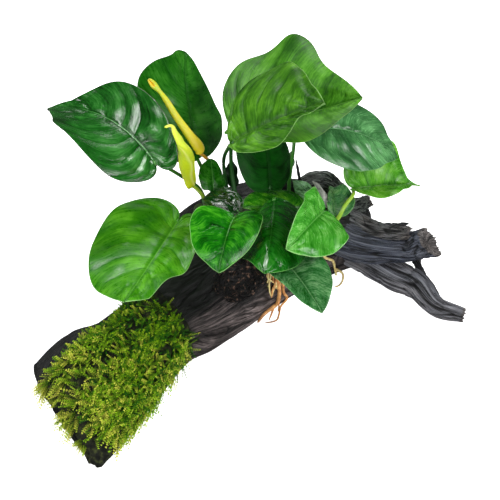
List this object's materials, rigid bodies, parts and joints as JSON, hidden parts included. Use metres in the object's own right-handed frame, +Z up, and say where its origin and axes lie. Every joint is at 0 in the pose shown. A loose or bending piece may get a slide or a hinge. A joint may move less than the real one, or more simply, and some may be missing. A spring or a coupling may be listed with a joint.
{
  "type": "anubias plant on driftwood",
  "caption": "Broad-leaved creeping water plant with flower sheaths and roots, tied on a branching piece of dark driftwood with a moss cushion on one end.",
  "frame": {"origin": "on the plane of the driftwood's flat underside, below the middle of the plant's creeping stem", "axes": "+Z up; +X from the moss-covered end towards the sawn stub; -Y towards the viewer of the picture, on the side of the wood's steep face"},
  "size_m": [0.2605, 0.2414, 0.1691],
  "materials": {
    "wood": "dark waterlogged wood, matte, grained",
    "leaf": "living leaf, waxy, semi-gloss",
    "stalk": "living leaf stalk, satin",
    "rhizome": "living creeping stem, matte",
    "spathe_gold": "flower sheath, satin",
    "spathe_green": "flower sheath, satin",
    "root_orange": "living root, matte",
    "root_pale": "young living root, matte",
    "root_mat": "felt of dark fibrous roots, matte",
    "moss": "aquarium moss, matte"
  },
  "bodies": {
    "root": {"driftwood_back_knob": "wood", "driftwood_log": "wood", "driftwood_lower_branch": "wood", "driftwood_main_stub": "wood", "driftwood_side_knob": "wood", "driftwood_upper_stub": "wood", "leaf_back_left": "leaf", "leaf_back_right": "leaf", "leaf_bud": "leaf", "leaf_far_left": "leaf", "leaf_far_right": "leaf", "leaf_front_heart": "leaf", "leaf_front_left": "leaf", "leaf_front_middle": "leaf", "leaf_front_right": "leaf", "leaf_hidden_left": "leaf", "leaf_hidden_right": "leaf", "leaf_light": "leaf", "leaf_middle_dark": "leaf", "leaf_right": "leaf", "leaf_small_grey": "leaf", "leaf_small_left": "leaf", "leaf_small_right": "leaf", "leaf_top": "leaf", "leaf_under_middle": "leaf", "leaf_wrinkled": "leaf", "moss_cushion": "moss", "rhizome": "rhizome", "root_front_long": "root_orange", "root_front_pale": "root_pale", "root_front_short": "root_orange", "root_mat": "root_mat", "root_right_loop": "root_pale", "root_right_ring": "root_pale", "spathe_gold": "spathe_gold", "spathe_gold_stalk": "stalk", "spathe_green": "spathe_green", "spathe_green_stalk": "stalk", "stalk_back_left": "stalk", "stalk_back_right": "stalk", "stalk_bud": "stalk", "stalk_far_left": "stalk", "stalk_far_right": "stalk", "stalk_front_heart": "stalk", "stalk_front_left": "stalk", "stalk_front_middle": "stalk", "stalk_front_right": "stalk", "stalk_hidden_left": "stalk", "stalk_hidden_right": "stalk", "stalk_light": "stalk", "stalk_middle_dark": "stalk", "stalk_right": "stalk", "stalk_small_grey": "stalk", "stalk_small_left": "stalk", "stalk_small_right": "stalk", "stalk_top": "stalk", "stalk_under_middle": "stalk", "stalk_wrinkled": "stalk"}
  },
  "joints": []
}
